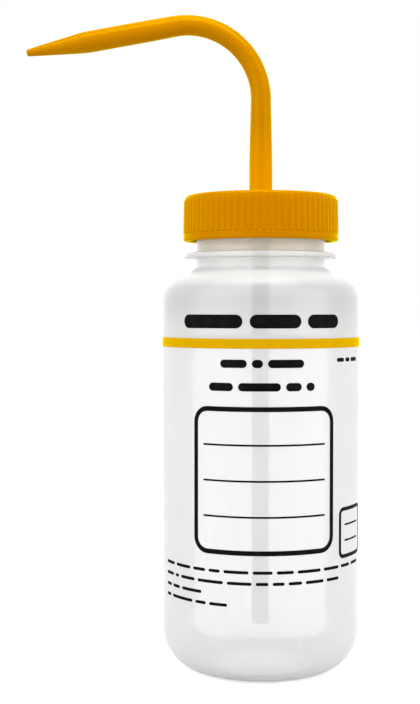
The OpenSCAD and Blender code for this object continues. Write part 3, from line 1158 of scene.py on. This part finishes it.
@dataclass
class Spout:
    """Bent tube that rises from the cap, turns over and narrows to a jet nozzle.

    Its centre line lies in the plane of the X and Z axes. Outlines are given as distance along the
    centre line and radius, and are carried along it: each point is the centre line's point plus
    the radius times a unit vector that turns about the line.

    Attributes:
        frame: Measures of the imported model.
        finish: The spout's finish.
        root_r: Radius at the cap.
        bend_tube_r: Radius in the bend, in the bend's plane.
        bend_across_r: Radius in the bend, across that plane.
        arm_r: Radius past the bend.
        lead: How far past the cap the narrowing starts, and past the bend's start it ends.
        widening: Where the tube widens again and over what length, as shares of the bend's length.
        bend_r: Radius of the bend's centre line.
        cad_bend_tube_r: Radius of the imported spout's tube in the bend.
        droop_deg: How far the arm falls below level.
        arm_l: Length of the arm.
        nozzle_l: Length of the nozzle.
        ease: Length over which the nozzle's taper begins.
        early: How far before the nozzle's start its rows begin.
        tip_r: Radius of the nozzle's tip.
        lip_l: Length of the round lip at the tip.
        lip_w: Width of the flat face round the jet.
        jet_r: Radius of the jet.
        jet_l: Length of the jet.
        passage_r: Radius of the passage.
        flange_r: Radius of the flange under the cap.
        flange_t: Its thickness.
        spigot_l: Length of the spigot below it.
        socket_r: Radius of the dip tube's socket.
        socket_l: Depth of the socket.
        edge: Size of the bevelled edges.
        columns: Number of columns round the tube.
    """

    frame: Frame
    finish: MouldedPlastic
    root_r: float = 4.45 * MM
    bend_tube_r: float = 3.82 * MM
    bend_across_r: float = 4.15 * MM
    arm_r: float = 4.08 * MM
    lead: float = 8 * MM
    widening: tuple[float, float] = (0.8, 0.45)
    bend_r: float = 28.3 * MM
    cad_bend_tube_r: float = 3.9 * MM
    droop_deg: float = 10.2
    arm_l: float = 35 * MM
    nozzle_l: float = 22.5 * MM
    ease: float = 1.6 * MM
    early: float = 2 * MM
    tip_r: float = 1.3 * MM
    lip_l: float = 0.8 * MM
    lip_w: float = 0.1 * MM
    jet_r: float = 0.55 * MM
    jet_l: float = 2 * MM
    passage_r: float = 2.5 * MM
    flange_r: float = 11 * MM
    flange_t: float = 1.2 * MM
    spigot_l: float = 9 * MM
    socket_r: float = 3.32 * MM
    socket_l: float = 18 * MM
    edge: float = 0.25 * MM
    columns: int = 64

    @property
    def rise(self) -> float:
        """Length of the straight stretch below the bend."""
        return self.frame.spout_high - self.cad_bend_tube_r - self.bend_r - self.frame.spout_low

    @property
    def turn(self) -> float:
        """Length of the bend along its centre line."""
        return self.bend_r * math.radians(90 + self.droop_deg)

    @property
    def nozzle(self) -> float:
        """Distance along the centre line to the nozzle's start."""
        return self.rise + self.turn + self.arm_l

    @property
    def length(self) -> float:
        """Length of the whole centre line."""
        return self.nozzle + self.nozzle_l

    def centre_line(self, distance: np.ndarray) -> tuple[np.ndarray, np.ndarray]:
        """Place and heading at each distance: straight up, round a circle, then straight on.

        Args:
            distance: Distances from the spout's lower end.

        Returns:
            The centre line's X and Z, and its heading in radians, where a quarter turn is up.
        """
        swept = np.clip((distance - self.rise) / self.bend_r, 0, math.radians(90 + self.droop_deg))
        straight = distance - self.rise - swept * self.bend_r
        before = np.minimum(straight, 0.0)
        after = np.maximum(straight, 0.0)
        heading = math.pi / 2 + swept
        x = self.bend_r * (np.cos(swept) - 1) + after * np.cos(heading)
        z = self.frame.spout_low + self.rise + self.bend_r * np.sin(swept)
        return np.stack([x, z + before + after * np.sin(heading)], axis=1), heading

    def carry(self, outline: np.ndarray) -> np.ndarray:
        """Carries an outline along the centre line.

        Args:
            outline: Rows of distance, radius in the bend's plane and radius across it.

        Returns:
            Rows by columns of points.
        """
        middle, heading = self.centre_line(outline[:, 0])
        angle = np.arange(self.columns) * TAU / self.columns
        inward = outline[:, 1:2] * np.cos(angle)
        across = outline[:, 2:3] * np.sin(angle)
        x = middle[:, :1] + inward * np.sin(heading)[:, None]
        z = middle[:, 1:] - inward * np.cos(heading)[:, None]
        return np.stack([x, across, z], axis=-1)

    def tube_r(self, distance: np.ndarray, bend: float) -> np.ndarray:
        """Outer radius: it narrows up the rise to the bend's own, and widens again past the bend.

        Args:
            distance: Distances along the centre line.
            bend: Radius in the bend.

        Returns:
            The radius at each distance.
        """
        foot = self.frame.cap_high - self.frame.spout_low + self.lead
        narrowing = smooth_step((distance - foot) / (self.rise + self.lead - foot))
        start, stretch = (share * self.turn for share in self.widening)
        widening = smooth_step((distance - self.rise - start) / stretch)
        return self.root_r + (bend - self.root_r) * narrowing + (self.arm_r - bend) * widening

    def spigot(self) -> np.ndarray:
        """Outline of the spigot and of the flange above it, as rows of distance and radius."""
        low, high, e = self.spigot_l, self.spigot_l + self.flange_t, self.edge
        return np.array([
            (0, self.socket_r), (0, self.root_r - e), (e, self.root_r), (low, self.root_r),
            (low, self.flange_r - e), (low + e, self.flange_r), (high - e, self.flange_r),
            (high, self.flange_r - e), (high, self.root_r)])

    def taper(self) -> np.ndarray:
        """Outline of the nozzle, as rows of distance and radius.

        The radius falls by the taper's slope times half the sum of the distance past the nozzle's
        start and the root of that distance's square plus the ease's square, so the taper begins
        gently. The lip is a quarter of an ellipse.
        """
        past = np.linspace(-self.early, self.nozzle_l - self.lip_l - 0.1 * MM, 40)
        slope = (self.arm_r - self.tip_r) / self.nozzle_l
        radius = self.arm_r - slope * 0.5 * (past + np.sqrt(past ** 2 + self.ease ** 2))
        face_r = self.jet_r + self.lip_w
        lip = arc((self.length - self.lip_l, face_r), (self.lip_l, radius[-1] - face_r), 75, 0, 5)
        return np.concatenate([np.column_stack([self.nozzle + past, radius]), lip])

    def passage(self) -> np.ndarray:
        """Outline of the passage from the jet back to the socket, as rows of distance and radius."""
        down = np.linspace(self.nozzle, self.socket_l + 0.2 * MM, 70)
        return np.concatenate([
            [(self.length - 0.3 * MM, self.jet_r), (self.length - self.jet_l, self.jet_r)],
            np.column_stack([down, np.full(len(down), self.passage_r)]),
            [(self.socket_l, self.socket_r)]])

    def profile(self) -> np.ndarray:
        """Closed outline: up the outside to the tip, then back down the passage."""

        def round_rows(outline: np.ndarray) -> np.ndarray:
            """Gives an outline the same radius both ways."""
            return np.column_stack([outline, outline[:, 1]])

        run = np.linspace(self.spigot_l + self.flange_t + 0.5 * MM,
                          self.nozzle - self.early - 0.4 * MM, 150)
        tube = np.column_stack([run, self.tube_r(run, self.bend_tube_r),
                                self.tube_r(run, self.bend_across_r)])
        return np.concatenate([round_rows(self.spigot()), tube, round_rows(self.taper()),
                               round_rows(self.passage())])

    def build(self) -> bpy.types.Object:
        """Makes the spout's object and dresses it."""
        piece = make_piece("bent_spout", [Grid(self.carry(self.profile()), loop=True)], 35.0)
        return dress(piece, self.finish.build(), "spout", "spout_plastic", "spout")


@dataclass
class DipTube:
    """Straight natural tube with square-cut, slightly rounded ends.

    Attributes:
        frame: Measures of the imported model.
        finish: The tube's finish.
        wall: Thickness of its wall.
        edge: Radius of its outer edges.
    """

    frame: Frame
    finish: MilkyPlastic
    wall: float = 0.9 * MM
    edge: float = 0.2 * MM

    def shell(self) -> Grid:
        """A long ring whose section is the tube's wall."""
        e = self.edge
        low, high, out = self.frame.dip_low, self.frame.dip_high, self.frame.dip_r
        inner = out - self.wall
        outline = np.concatenate([
            arc((out - e, low + e), (e, e), -90, 0, 3),
            along([(out, low + 1 * MM), (out, high - 1 * MM)], 8 * MM),
            arc((out - e, high - e), (e, e), 0, 90, 3),
            [(inner, high), (inner, high - 1 * MM)],
            along([(inner, high - 2 * MM), (inner, low + 1 * MM)], 8 * MM), [(inner, low)]])
        return Grid(revolve(outline, np.arange(48) * TAU / 48), loop=True)

    def build(self) -> bpy.types.Object:
        """Makes the tube's object and dresses it."""
        piece = make_piece("dip_pipe", [self.shell()])
        return dress(piece, self.finish.build(), "spout", "tube_plastic", "dip_tube")


# ---------------------------------------------------------------- the studio


@dataclass(frozen=True)
class SoftLamp:
    """A soft rectangular light.

    Attributes:
        name: The light's name.
        place: Where it hangs.
        aim: What it points at.
        size: Width and height.
        watts: Its power.
    """

    name: str
    place: tuple[float, float, float]
    aim: tuple[float, float, float]
    size: tuple[float, float]
    watts: float

    def build(self) -> None:
        """Makes the light, which the camera doesn't see."""
        data = bpy.data.lights.new(self.name, "AREA")
        data.shape, data.energy = "RECTANGLE", self.watts
        data.size, data.size_y = self.size
        lamp = bpy.data.objects.new(self.name, data)
        lamp.visible_camera = False
        lamp.location = self.place
        lamp.rotation_euler = (Vector(self.aim) - Vector(self.place)).to_track_quat("-Z", "Y").to_euler()
        bpy.context.scene.collection.objects.link(lamp)


@dataclass(frozen=True)
class Studio:
    """Pale floor, white surroundings, soft lights and the camera.

    Attributes:
        eye: The camera's place.
        pitch_deg: How far it looks up.
        lens: Its focal length in millimetres, for a sensor 36 mm wide.
        floor_half: Half the floor's width.
        floor_grey: The floor's colour where it lights the bottle.
        floor_pale: The floor's colour to the camera.
        floor_glow: Strength of the light that the camera sees it give.
        front: Strength of the surroundings behind the camera.
        sides: Their strength at the sides and the back.
        front_y: Parts of the direction along Y between which the first becomes the second.
        overhead: Share of both that is left straight overhead.
        overhead_z: Parts of the direction along Z between which they fall to it.
        sky_tilt_deg: Tilt of the light from overhead about X and Y.
        sky_spread_deg: Its angle across.
        sky_strength: Its strength.
        lamps: The rectangular lights.
    """

    eye: tuple[float, float, float] = (-19.57 * MM, -509.6 * MM, 138.4 * MM)
    pitch_deg: float = -1.93
    lens: float = 67.4
    floor_half: float = 6.0
    floor_grey: float = 0.75
    floor_pale: float = 0.95
    floor_glow: float = 0.35
    front: float = 0.95
    sides: float = 1.6
    front_y: tuple[float, float] = (-1.0, -0.1)
    overhead: float = 0.55
    overhead_z: tuple[float, float] = (0.2, 1.0)
    sky_tilt_deg: tuple[float, float] = (8.0, 14.0)
    sky_spread_deg: float = 75.0
    sky_strength: float = 0.15
    lamps: tuple[SoftLamp, ...] = (
        SoftLamp("top_light", (0.05, 0.05, 0.95), (0, 0, 0.15), (0.7, 0.2), 1.7),
        SoftLamp("arm_light", (-0.035, -0.07, 0.375), (-0.035, 0, 0.243), (0.3, 0.05), 0.34),
        SoftLamp("left_light", (-0.68, -0.6, 0.25), (0, 0, 0.14), (0.8, 0.9), 3.8),
        SoftLamp("right_light", (0.74, -0.48, 0.25), (0, 0, 0.14), (0.8, 0.9), 3.8))

    def camera(self) -> None:
        """Puts the camera at its place, looking along +Y and a little down."""
        data = bpy.data.cameras.new("camera")
        data.lens, data.sensor_width = self.lens, 36.0
        data.clip_start, data.clip_end = 0.01, 50.0
        eye = bpy.data.objects.new("camera", data)
        eye.location = self.eye
        eye.rotation_euler = (math.radians(90 + self.pitch_deg), 0.0, 0.0)
        bpy.context.scene.collection.objects.link(eye)
        bpy.context.scene.camera = eye

    def floor(self) -> None:
        """A wide sheet under the bottle, which the camera sees paler than the bottle does."""
        h = self.floor_half
        mesh = bpy.data.meshes.new("floor")
        mesh.from_pydata([(-h, -h, 0), (h, -h, 0), (h, h, 0), (-h, h, 0)], [], [(0, 1, 2, 3)])
        sheet = bpy.data.objects.new("floor", mesh)
        bpy.context.scene.collection.objects.link(sheet)
        bench = NodeBench(bpy.data.materials.new("floor_paint"))
        dim = bench.add("ShaderNodeBsdfDiffuse", Color=(*[self.floor_grey] * 3, 1.0))
        pale = bench.add("ShaderNodeBsdfDiffuse", Color=(*[self.floor_pale] * 3, 1.0))
        glow = bench.add("ShaderNodeEmission", Color=(*WHITE, 1.0), Strength=self.floor_glow)
        lit = bench.add("ShaderNodeAddShader")
        bench.tree.links.new(pale.outputs["BSDF"], lit.inputs[0])
        bench.tree.links.new(glow.outputs["Emission"], lit.inputs[1])
        mesh.materials.append(bench.finish(bench.seen(dim.outputs["BSDF"], lit.outputs["Shader"])))

    def surroundings(self) -> None:
        """White surroundings, dimmer behind the camera and overhead, and plain to the camera."""
        world = bpy.data.worlds.new("studio")
        bpy.context.scene.world = world
        bench = NodeBench(world, Target.WORLD)
        place = bench.coords(source=Coords.GENERATED)
        around = bench.spread(bench.part(place, "Y"), self.front, self.sides, *self.front_y)
        above = bench.spread(bench.part(place, "Z"), 1.0, self.overhead, *self.overhead_z)
        both = bench.add("ShaderNodeMath", operation="MULTIPLY")
        bench.tree.links.new(around, both.inputs[0])
        bench.tree.links.new(above, both.inputs[1])
        light = bench.add("ShaderNodeBackground", Color=(*WHITE, 1.0), Strength=both.outputs["Value"])
        plain = bench.add("ShaderNodeBackground", Color=(*WHITE, 1.0), Strength=1.0)
        bench.finish(bench.seen(light.outputs["Background"], plain.outputs["Background"]))

    def sky(self) -> None:
        """A very soft light from overhead that keeps the floor pale as far as it goes."""
        data = bpy.data.lights.new("sky_light", "SUN")
        data.energy, data.angle = self.sky_strength, math.radians(self.sky_spread_deg)
        lamp = bpy.data.objects.new("sky_light", data)
        lamp.rotation_euler = (*np.radians(self.sky_tilt_deg), 0.0)
        bpy.context.scene.collection.objects.link(lamp)

    def build(self) -> None:
        """Sets up the camera, the floor, the surroundings and the lights."""
        self.camera()
        self.floor()
        self.surroundings()
        self.sky()
        for lamp in self.lamps:
            lamp.build()
        scene = bpy.context.scene
        scene.view_settings.view_transform = "Standard"
        scene.view_settings.look = "None"


# ---------------------------------------------------------------- the whole bottle


@dataclass(frozen=True)
class Finishes:
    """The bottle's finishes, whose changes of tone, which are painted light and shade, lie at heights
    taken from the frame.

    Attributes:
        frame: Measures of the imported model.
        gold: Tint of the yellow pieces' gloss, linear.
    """

    frame: Frame
    gold: tuple[float, float, float] = (1.0, 0.85, 0.0)

    @property
    def bead(self) -> float:
        """Height of the lower face of the neck's bead."""
        return self.frame.rim_z - Bottle.bead_drop

    def wall(self) -> MilkyPlastic:
        """The wall outside: painted shade greys the shoulder, painted light pales the neck's foot, and
        painted bounce light from the cap warms the neck.
        """
        return MilkyPlastic(
            "milky_wall", (0.865, 0.865, 0.863), (0.94, 0.94, 0.935), tones=(
                # Painted shade: greyer over the top of the straight wall and the shoulder.
                (0.122, 0.142, (0.66, 0.66, 0.657)),
                # Painted light: paler at the neck's foot, lifting the shade that the cap throws there.
                (0.146, 0.151, (1.0, 1.0, 0.995)),
                # The painted light stops at the bead's lower face, where about the wall's own colour
                # comes back.
                (self.bead - 0.3 * MM, self.bead, (0.86, 0.86, 0.856)),
                # Painted bounce light and shade: warm and darker on the neck above the bead, under the
                # yellow cap.
                (self.bead + 1.8 * MM, self.bead + 2.2 * MM, (0.84, 0.79, 0.66))),
            clear=0.3, through=0.4)

    def lining(self) -> MilkyPlastic:
        """The wall inside, which also has painted bounce light from the cap that warms the neck."""
        return MilkyPlastic(
            "milky_lining", (0.92, 0.92, 0.92), (0.90, 0.90, 0.895),
            # Painted bounce light: warm on the neck above the bead, under the yellow cap.
            tones=((self.bead + 1.8 * MM, self.bead + 2.2 * MM, (0.88, 0.85, 0.75)),),
            clear=0.8, through=0.5, glossy=False)

    def dark_ink(self) -> PrintedInk:
        """The ink of the bars and panels."""
        return PrintedInk("black_ink", (0.002, 0.002, 0.002), (0.006, 0.006, 0.006))

    def band_ink(self) -> PrintedInk:
        """The ink of the colour band."""
        return PrintedInk("yellow_ink", (0.50, 0.275, 0.0), (0.46, 0.245, 0.0), gloss=self.gold)

    def cap(self) -> MouldedPlastic:
        """The cap's yellow."""
        return MouldedPlastic("cap_yellow", (0.51, 0.172, 0.0), (0.47, 0.152, 0.0),
                              gloss=self.gold, through=0.2)

    def washer(self) -> MouldedPlastic:
        """The washer's dull white."""
        return MouldedPlastic("washer_white", (0.8, 0.8, 0.77), (0.74, 0.74, 0.71), rough=(0.6, 0.75))

    def spout(self) -> MouldedPlastic:
        """The spout's deeper yellow, with a brighter yellow at the foot that is painted light bounced
        from the cap's top.
        """
        return MouldedPlastic(
            "spout_yellow", (0.36, 0.127, 0.0), (0.335, 0.115, 0.0), rough=(0.34, 0.38),
            mirror=1.5, gloss=self.gold, foot=(0.56, 0.205, 0.0),
            foot_z=(self.frame.cap_high, self.frame.cap_high + 28 * MM))

    def dip_tube(self) -> MilkyPlastic:
        """The dip tube's milkiness, darkened to grey as painted shade so that it shows as a darker strip
        through the wall.
        """
        return MilkyPlastic("milky_tube", (0.54, 0.54, 0.53), (0.50, 0.50, 0.49), tones=(),
                            clear=0.3, through=0.5)


def main() -> None:
    """Builds the studio and every piece of the wash bottle."""
    logging.basicConfig(level=logging.INFO, format="%(name)s: %(message)s")
    measures = Frame.read()
    finishes = Finishes(measures)
    Studio().build()
    bottle = Bottle(measures, finishes.wall(), finishes.lining())
    bottle.build()
    LabelPrint(bottle.wall_r, finishes.dark_ink(), finishes.band_ink()).build()
    ScrewCap(measures, finishes.cap(), bottle.thread).build()
    Washer(measures, finishes.washer()).build()
    Spout(measures, finishes.spout()).build()
    DipTube(measures, finishes.dip_tube()).build()


if __name__ == "__main__":
    main()
